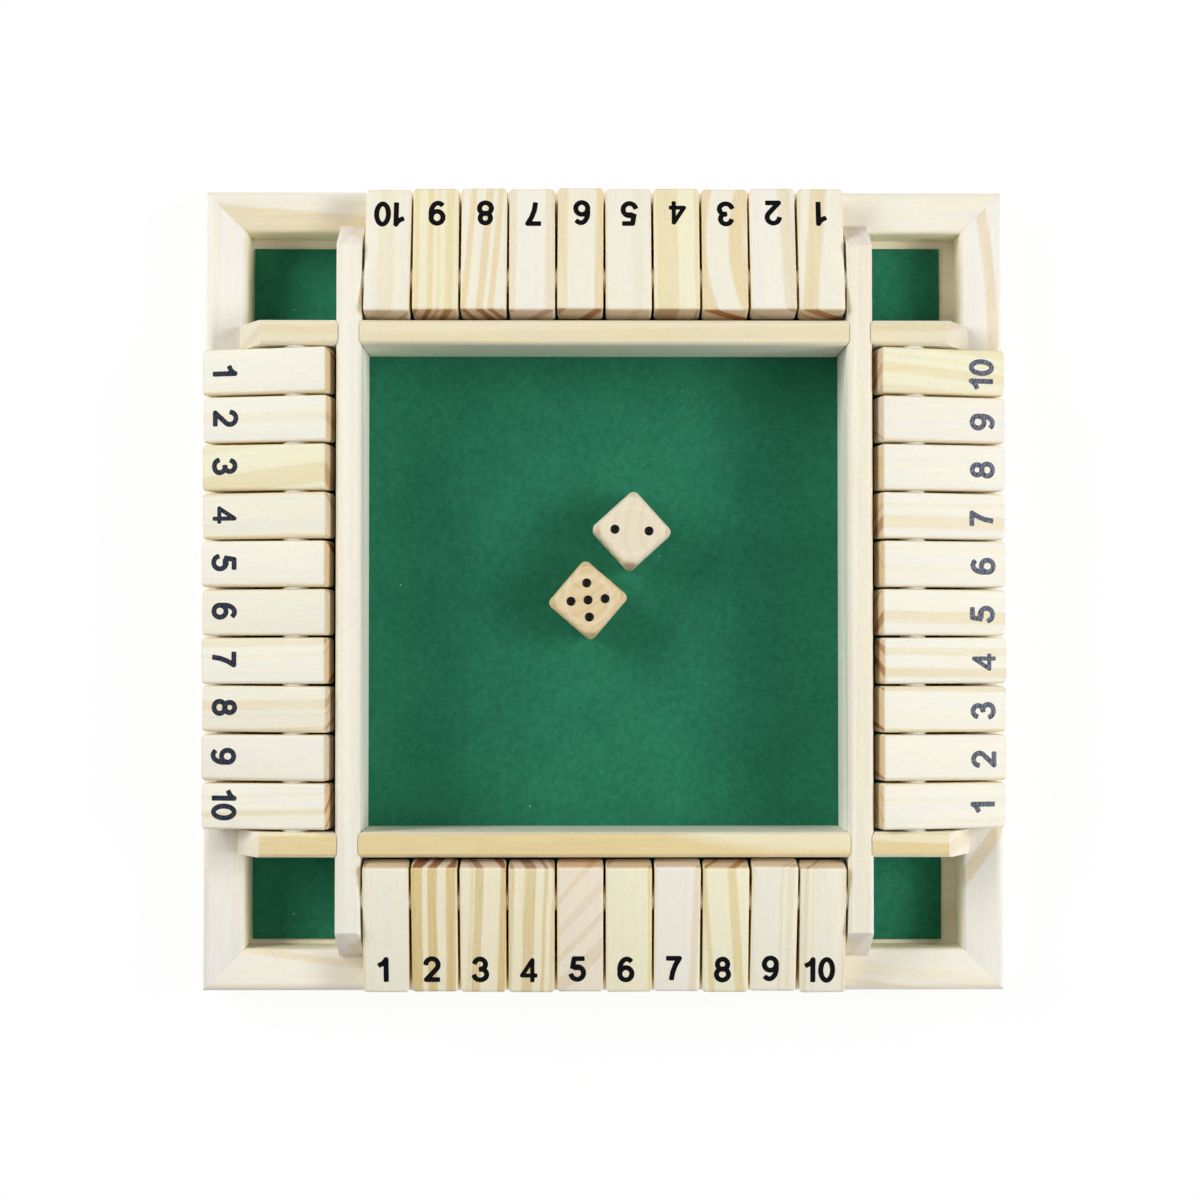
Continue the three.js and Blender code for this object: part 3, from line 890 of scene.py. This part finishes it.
DIGIT_WIDTH_SHARE = 0.56
ONE_WIDTH_SHARE = 0.4
SIX_SHARES = [arc(0.28, 0.295, 0.275, 0.295, 0, 360), arc(0.32, 0.5, 0.315, 0.5, 195, 58)]
STROKE_SHARES = {
    "0": [arc(0.28, 0.5, 0.27, 0.5, 0, 360, 40)],
    "1": [[(0.06, 0.73), (0.2, 0.8), (0.3, 0.9), (0.35, 1.0), (0.35, 0.0)]],
    "2": [arc(0.29, 0.71, 0.28, 0.29, 168, -38) + [(0.03, 0.0), (0.57, 0.0)]],
    "3": [arc(0.27, 0.75, 0.25, 0.25, 162, -85), arc(0.28, 0.265, 0.29, 0.265, 85, -162)],
    "4": [[(0.47, 0.0), (0.47, 0.99), (0.0, 0.25), (0.63, 0.25)]],
    "5": [[(0.54, 1.0), (0.14, 1.0), (0.06, 0.5)] + arc(0.28, 0.315, 0.29, 0.305, 142, -160)],
    "6": SIX_SHARES,
    "7": [[(0.03, 1.0), (0.56, 1.0), (0.38, 0.68), (0.26, 0.34), (0.21, 0.03)]],
    "8": [arc(0.28, 0.755, 0.235, 0.245, 0, 360), arc(0.28, 0.27, 0.275, 0.27, 0, 360)],
    "9": turned(SIX_SHARES, DIGIT_WIDTH_SHARE),
}
THINNER_SHARES = {"4": 0.84}


def rounded_meet(first, second, radius):
    """The signed distance from where two shapes meet, with the corner between them rounded."""
    inside = np.minimum(np.maximum(first + radius, second + radius), 0)
    outside = np.hypot(np.maximum(first + radius, 0), np.maximum(second + radius, 0))
    return inside + outside - radius


def stroke_distance(points, at_x, at_y, half):
    """The signed distance from the edge of one pen stroke with square ends."""
    points = np.array(points)
    is_open = np.hypot(*(points[0] - points[-1])) > half / 4
    ends = []
    if is_open:
        for tip, inner in ((0, 1), (-1, -2)):
            away = points[tip] - points[inner]
            away = away / np.hypot(*away)
            points[tip] = points[tip] + away * half * STROKE_END_SHARE
            ends.append((points[tip].copy(), away))
    distance = np.full(at_x.shape, np.inf)
    for start, end in zip(points, points[1:]):
        run = end - start
        length = max(np.hypot(*run), 1e-9)
        run = run / length
        along = np.clip((at_x - start[0]) * run[0] + (at_y - start[1]) * run[1], 0, length)
        gap = np.hypot(at_x - start[0] - along * run[0], at_y - start[1] - along * run[1])
        distance = np.minimum(distance, gap - half)
    for tip, away in ends:
        beyond = (at_x - tip[0]) * away[0] + (at_y - tip[1]) * away[1]
        near = np.hypot(at_x - tip[0], at_y - tip[1]) < half * 2
        cut = rounded_meet(distance, beyond, DIGIT_CORNER)
        distance = np.where(near, cut, distance)
    return distance


def digit_shape(character):
    """A flat numeral as a thin solid, its outline drawn round its pen strokes."""
    scale = DIGIT_HEIGHT - DIGIT_STROKE
    half = DIGIT_STROKE / 2 * THINNER_SHARES.get(character, 1)
    margin = DIGIT_STROKE
    xs = np.arange(-margin, DIGIT_WIDTH_SHARE * scale + 2 * margin, DIGIT_CELL)
    ys = np.arange(-margin, scale + margin, DIGIT_CELL)
    at_x, at_y = np.meshgrid(xs, ys)
    strokes = [[(x * scale, y * scale) for x, y in stroke] for stroke in STROKE_SHARES[character]]
    field = np.min([stroke_distance(stroke, at_x, at_y, half) for stroke in strokes], axis=0)
    shape = bmesh.new()
    corners = {}

    def crossing(first, second):
        """The vertex where the outline crosses a side of the grid."""
        key = (first, second)
        if key not in corners:
            a, b = field[first], field[second]
            share = a / (a - b)
            x = xs[first[1]] + (xs[second[1]] - xs[first[1]]) * share
            y = ys[first[0]] + (ys[second[0]] - ys[first[0]]) * share
            corners[key] = shape.verts.new((x, y, 0))
        return corners[key]

    for j in range(len(ys) - 1):
        for i in range(len(xs) - 1):
            low_left, low_right = (j, i), (j, i + 1)
            top_left, top_right = (j + 1, i), (j + 1, i + 1)
            around = [(low_left, low_right), (low_right, top_right)]
            around += [(top_left, top_right), (low_left, top_left)]
            crossed = [crossing(a, b) for a, b in around if (field[a] < 0) != (field[b] < 0)]
            for k in range(0, len(crossed), 2):
                shape.edges.new((crossed[k], crossed[k + 1]))
    bmesh.ops.remove_doubles(shape, verts=shape.verts, dist=DIGIT_CELL / 8)
    bmesh.ops.triangle_fill(shape, use_beauty=True, edges=shape.edges[:], normal=(0, 0, 1))
    move(shape, Matrix.Translation((0, half, INK_PROUD)))
    thicken(shape, -INK_SUNK)
    return shape


def number_mesh(text):
    """The numeral or numerals of a tile, side by side and centred."""
    joined = bmesh.new()
    scale = DIGIT_HEIGHT - DIGIT_STROKE
    advance = 0.0
    for character in text:
        glyph = digit_shape(character)
        move(glyph, Matrix.Translation((advance, -DIGIT_HEIGHT / 2, 0)))
        join_into(joined, glyph)
        width_share = ONE_WIDTH_SHARE if character == "1" else DIGIT_WIDTH_SHARE
        advance += width_share * scale + DIGIT_STROKE * NUMBER_SPACE_SHARE
    low = min(v.co.x for v in joined.verts)
    high = max(v.co.x for v in joined.verts)
    move(joined, Matrix.Translation((-(low + high) / 2, 0, 0)))
    return finish_mesh(f"number_{text}", joined)


# How each tile was sawn, from 1 to 10 on each side, as for the rails and in shares of its width
TILE_SHARES = [
    # South
    ("cream", 12, 0, (-0.5, 0.1, 0.8)),
    ("honey", 17, 0.4, (-0.38, 0.25, 1.0), (-0.04, 0.19, 0.95), (0.34, 0.18, 0.95)),
    ("honey", -15, 2.2, (-0.26, 0.08, 0.3), (-0.12, 0.19, 0.75), (0.43, 0.16, 0.9)),
    ("honey", -10, 2.0, (-0.45, 0.1, 0.6), (-0.06, 0.24, 0.7), (0.27, 0.07, 0.7), (0.46, 0.1, 0.5)),
    ("rose", 10, 43, (-0.75, 0.1, 0.6), (-0.3, 0.16, 0.5), (0.12, 0.12, 0.7), (0.6, 0.3, 0.7)),
    ("straw", 20, 0, (-0.5, 0.08, 0.5), (0.44, 0.1, 0.8)),
    ("pink", 35, 2.2, (0.32, 0.12, 0.9), (0.8, 0.2, 0.8)),
    ("straw", 30, -4.6, (-0.34, 0.1, 0.9), (0.18, 0.16, 0.9), (0.62, 0.2, 0.6)),
    ("cream", 40, 0.5, (0.1, 0.05, 0.5), (0.25, 0.1, 0.45), (0.46, 0.07, 0.9), (0.9, 0.3, 0.6)),
    ("cream", 30, 0.8, (-0.34, 0.08, 0.7), (-0.2, 0.05, 0.3), (0.42, 0.1, 0.8), (0.8, 0.1, 0.6)),
    # East
    ("ivory", 40, 0.5, (-0.25, 0.06, 0.3), (0.1, 0.06, 0.3), (0.4, 0.1, 0.45), (0.75, 0.3, 1.0)),
    ("ivory", 15, 0, (-0.46, 0.08, 0.7), (0.9, 0.5, 1.0)),
    ("ivory", 15, 0.8, (-0.46, 0.09, 0.9), (0.42, 0.1, 0.9)),
    ("ivory", 25, 0.6, (-0.24, 0.18, 0.8), (0.17, 0.15, 0.65), (0.6, 0.2, 1.0)),
    ("ivory", -30, 0.6, (-0.09, 0.22, 0.75), (0.45, 0.07, 0.7), (-0.6, 0.2, 1.0)),
    ("ivory", 38, 0.8, (-0.08, 0.05, 0.3), (0.25, 0.05, 0.2), (0.5, 0.08, 1.0)),
    ("ivory", -25, 0.3, (-0.13, 0.25, 0.65), (0.2, 0.1, 0.3)),
    ("ivory", 10, 0, (0.1, 0.2, 0.1)),
    ("pink", 20, 1.0, (-0.45, 0.06, 0.7)),
    ("straw", -32, 4.6, (-0.38, 0.1, 0.4), (-0.03, 0.17, 0.5), (0.2, 0.06, 0.25), (0.42, 0.14, 0.4)),
    # North
    ("peach", -45, 4.6, (0.1, 0.24, 0.85), (0.42, 0.1, 0.5), (-0.5, 0.1, 0.7)),
    ("pink", -40, -2.8, (-0.24, 0.2, 0.95), (-0.46, 0.1, 0.6), (0.5, 0.06, 0.4)),
    ("peach", -50, -2.4, (0.38, 0.24, 1.0), (-0.17, 0.2, 1.0), (-0.6, 0.12, 1.0), (-0.9, 0.12, 1.0)),
    ("straw", 8, -0.6, (0.2, 0.46, 0.6), (-0.44, 0.07, 0.6)),
    ("cream", 15, 0, (0.47, 0.05, 0.6), (-0.2, 0.2, 0.25)),
    ("peach", 31, 0, (0.36, 0.24, 0.7), (-0.38, 0.2, 0.9)),
    ("pink", 35, 0.4, (0.38, 0.2, 0.8), (-0.34, 0.2, 0.85)),
    ("peach", -19, 4.4, (0.31, 0.12, 0.9), (-0.02, 0.15, 0.95), (-0.25, 0.12, 0.9), (0.6, 0.12, 1.0)),
    ("gold", 19, 0.4, (0.38, 0.1, 0.8), (0.1, 0.12, 0.9), (-0.08, 0.06, 0.5), (-0.3, 0.16, 0.8)),
    ("cream", 30, 0.6, (0.02, 0.3, 0.4), (-0.5, 0.08, 0.7)),
    # West
    ("ivory", 25, 0, (0.45, 0.12, 0.9), (-0.5, 0.08, 0.7)),
    ("ivory", 20, 0, (-0.05, 0.2, 0.3)),
    ("straw", 35, -6.4, (0.22, 0.36, 0.55), (-0.42, 0.1, 0.3)),
    ("cream", 30, -0.3, (-0.43, 0.1, 0.7), (0.42, 0.12, 0.8)),
    ("ivory", 30, 0, (0.43, 0.12, 0.8), (-0.56, 0.15, 1.0)),
    ("cream", 10, 0, (-0.48, 0.06, 0.4)),
    ("ivory", -30, -0.8, (-0.38, 0.2, 0.6), (-0.1, 0.05, 0.3), (0.6, 0.1, 0.9)),
    ("cream", -20, -1.2, (-0.08, 0.18, 0.6), (0.14, 0.05, 0.3), (0.43, 0.1, 0.8)),
    ("pink", 10, 0, (0.46, 0.07, 0.7)),
    ("ivory", -35, -2.0, (0.12, 0.1, 0.7), (-0.2, 0.05, 0.3), (0.45, 0.09, 0.6), (-0.8, 0.2, 1.0)),
]
TILE_SEED_STEP = 1.37
SIDE_SEED_STEP = 11.3


def make_inks():
    black = ink_material("ink_black", srgb(3, 3, 5), srgb(24, 24, 29), wear=0.35)
    slate = ink_material("ink_slate", srgb(30, 34, 46), srgb(98, 103, 118), wear=0.6)
    worn = ink_material("ink_worn", srgb(66, 72, 88), srgb(172, 175, 184), wear=0.8)
    return {"south": black, "east": worn, "north": black, "west": slate}


def make_tiles():
    inks = make_inks()
    rods = {j["child"]: Vector(j["pos_m"]) for j in frame["joints"] if "pos_m" in j}
    numbers = {n: number_mesh(str(n)) for n in range(1, TILES_PER_ROW + 1)}
    upright = Matrix.Rotation(pi / 2, 4, "Z")
    tile = None
    for quarter, side in enumerate(OUTWARD):
        row = TILE_SHARES[quarter * TILES_PER_ROW :][:TILES_PER_ROW]
        for n, sawn in enumerate(row, start=1):
            node = f"{side}_tile_{n}"
            matrix, level, size = tile_frame(node, side)
            if tile is None:
                tile = tile_shape(size, (matrix.inverted() @ rods[node]).x)
            tilted = level.inverted() @ matrix
            seed = TILE_SEED_STEP * n + SIDE_SEED_STEP * quarter
            section = (size.y / MM, size.z / MM)
            turn = tilted.inverted().to_euler()
            material = pine_material(node, section, seed, sawn, turn)
            mesh = tile.copy()
            mesh.transform(tilted)
            add_piece(f"{node}_wood", mesh, material, node, level, [node])
            from_end, to_left = (reach * MM for reach in DIGIT_AT[side])
            place = (size.x / 2 - from_end, -to_left, size.z / 2)
            matrix = matrix @ Matrix.Translation(place) @ upright
            add_piece(f"{node}_number", numbers[n].copy(), inks[side], node, matrix)


# Dice

# Pips of each number across and up its face, and each face's quarter turns about X, then about Y
MIDDLE = [(0, 0)]
SLANT = [(-1, 1), (1, -1)]
CORNERS = SLANT + [(1, 1), (-1, -1)]
SIX_PIPS = CORNERS + [(-1, 0), (1, 0)]
PIPS = {1: MIDDLE, 2: SLANT, 3: MIDDLE + SLANT, 4: CORNERS, 5: MIDDLE + CORNERS, 6: SIX_PIPS}
FACE_TURNS = {2: (0, 0), 5: (2, 0), 1: (0, 1), 6: (0, -1), 4: (-1, 0), 3: (1, 0)}

# Each die: its kind, its turns about Z and then about its own X in degrees, its seed, and how far
# its stain's middle is moved, in mm
DICE = {
    "die_two": dict(kind="pale", turned=(42.1, 0), seed=2.2, stained=(-0.9, -0.9, 0)),
    "die_five": dict(kind="tan", turned=(49.5, 180), seed=5.6, stained=(-0.7, 0.7, 0)),
}


def pip_places(half):
    """The frame of each pip, with Z out of its face."""
    places = []
    for number, quarters in FACE_TURNS.items():
        turn_x, turn_y = (pi / 2 * quarter for quarter in quarters)
        turn = Matrix.Rotation(turn_y, 4, "Y") @ Matrix.Rotation(turn_x, 4, "X")
        for x, y in PIPS[number]:
            at = Matrix.Translation((x * PIP_SPREAD, y * PIP_SPREAD, half))
            places.append(turn @ at)
    return places


def join_lathes(outline, places, name):
    joined = bmesh.new()
    for place in places:
        shape = lathe(outline, PIP_SIDES, "Z")
        move(shape, place)
        join_into(joined, shape)
    return finish_mesh(name, joined)


def die_meshes(side):
    """A die's body, with rounded edges and corners cut by a sphere, and the paint in its pips."""
    half = side / 2
    shape = bmesh.new()
    bmesh.ops.create_cube(shape, size=side)
    bmesh.ops.subdivide_edges(shape, edges=shape.edges[:], cuts=DIE_CUTS, use_grid_fill=True)
    core = half - DIE_EDGE
    for vert in shape.verts:
        inner = Vector([max(-core, min(core, c)) for c in vert.co])
        away = vert.co - inner
        if away.length > 0:
            vert.co = inner + away.normalized() * DIE_EDGE
        if vert.co.length > DIE_SPHERE:
            vert.co = vert.co.normalized() * DIE_SPHERE
    body = finish_mesh("die_body", shape, DIE_DEGREES)
    places = pip_places(half)
    drill = [(0, -PIP_DEPTH), (PIP_RADIUS, -PIP_DEPTH), (PIP_RADIUS, PIP_OVERRUN), (0, PIP_OVERRUN)]
    radius = PIP_RADIUS * PAINT_RADIUS_SHARE
    bottom = -PIP_DEPTH * PAINT_DEPTH_SHARE
    paint = [(0, bottom), (radius, bottom), (radius, -PAINT_BELOW)]
    for k in range(1, PAINT_STEPS):
        angle = pi / 2 * k / PAINT_STEPS
        paint.append((radius * cos(angle), -PAINT_BELOW - PAINT_HOLLOW * sin(angle)))
    paint.append((0, -PAINT_BELOW - PAINT_HOLLOW))
    body = boolean_cut(body, join_lathes(drill, places, "pip_drills"))
    return body, join_lathes(paint, places, "pip_paint")


def make_dice():
    low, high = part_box("die_two")
    body, paint = die_meshes(high.z - low.z)
    pips = pip_material()
    for node, die in DICE.items():
        low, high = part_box(node)
        yaw, roll = (radians(angle) for angle in die["turned"])
        matrix = Matrix.Translation((low + high) / 2) @ Matrix.Rotation(yaw, 4, "Z")
        matrix = matrix @ Matrix.Rotation(roll, 4, "X")
        wood = die_material(die["kind"], die["seed"], die["stained"])
        add_piece(f"{node}_wood", body.copy(), wood, node, matrix, [node])
        add_piece(f"{node}_pips", paint.copy(), pips, node, matrix)


# Stage, lamps and camera


def make_stage():
    """A floor that takes the part's shadow, and is white to the camera further out."""
    shape = bmesh.new()
    bmesh.ops.create_grid(shape, x_segments=1, y_segments=1, size=FLOOR_REACH)
    mesh = bpy.data.meshes.new("floor")
    shape.to_mesh(mesh)
    shape.free()
    floor = new_object("floor", mesh)
    floor.location.z = cad_box[0][2] - FLOOR_BELOW
    paper = srgb(250, 250, 250)
    material, tree = new_material("floor_white", Roughness=0.9, Base_Color=paper)
    away = length_of(tree, tree.nodes.new("ShaderNodeTexCoord").outputs["Object"])
    away = smooth(tree, away, FADE_START, FADE_END)
    glow = calc(tree, "MULTIPLY_ADD", away, 1 - FLOOR_GLOW_SHARE, FLOOR_GLOW_SHARE)
    white = add_node(tree, "ShaderNodeEmission", {"Color": WHITE, "Strength": FLOOR_WHITE})
    surface = white_where_seen(tree, shader_of(tree).outputs[0], white.outputs[0], glow)
    tree.links.new(surface, tree.nodes["Material Output"].inputs["Surface"])
    mesh.materials.append(material)


def make_world():
    """A faint light from all round, which is white where it is seen."""
    world = bpy.data.worlds.new("studio")
    world.use_nodes = True
    tree = world.node_tree
    tree.nodes.clear()
    light = add_node(tree, "ShaderNodeBackground", {"Color": WHITE, "Strength": AMBIENT})
    white = add_node(tree, "ShaderNodeBackground", {"Color": WHITE, "Strength": 1.0})
    out = tree.nodes.new("ShaderNodeOutputWorld")
    surface = white_where_seen(tree, light.outputs[0], white.outputs[0])
    tree.links.new(surface, out.inputs["Surface"])
    bpy.context.scene.world = world


def make_lamps():
    """Softboxes that look at the middle of the board."""
    for name, (direction, watts, size) in LAMPS.items():
        azimuth, elevation = (radians(angle) for angle in direction)
        level = cos(elevation)
        towards = Vector((level * cos(azimuth), level * sin(azimuth), sin(elevation)))
        lamp = bpy.data.lights.new(name, "AREA")
        lamp.shape = "RECTANGLE"
        lamp.size, lamp.size_y = size
        lamp.energy = watts
        holder = new_object(name, lamp)
        holder.location = towards * LAMP_DISTANCE
        holder.rotation_euler = (-towards).to_track_quat("-Z", "Y").to_euler()


def make_camera():
    camera = bpy.data.cameras.new("camera")
    camera.lens = CAMERA_LENS
    camera.sensor_width = CAMERA_SENSOR
    camera.clip_start = CAMERA_CLIP
    holder = new_object("camera", camera)
    holder.location = CAMERA_AT
    back = (CAMERA_AT - CAMERA_LOOKS_AT).normalized()
    right = Vector((0, 1, 0)).cross(back).normalized()
    up = back.cross(right)
    holder.rotation_euler = Matrix((right, up, back)).transposed().to_euler()
    bpy.context.scene.camera = holder


make_camera()
make_frame()
make_felt()
make_rods()
make_tiles()
make_dice()
make_stage()
make_world()
make_lamps()
bpy.context.scene.view_settings.view_transform = "Standard"
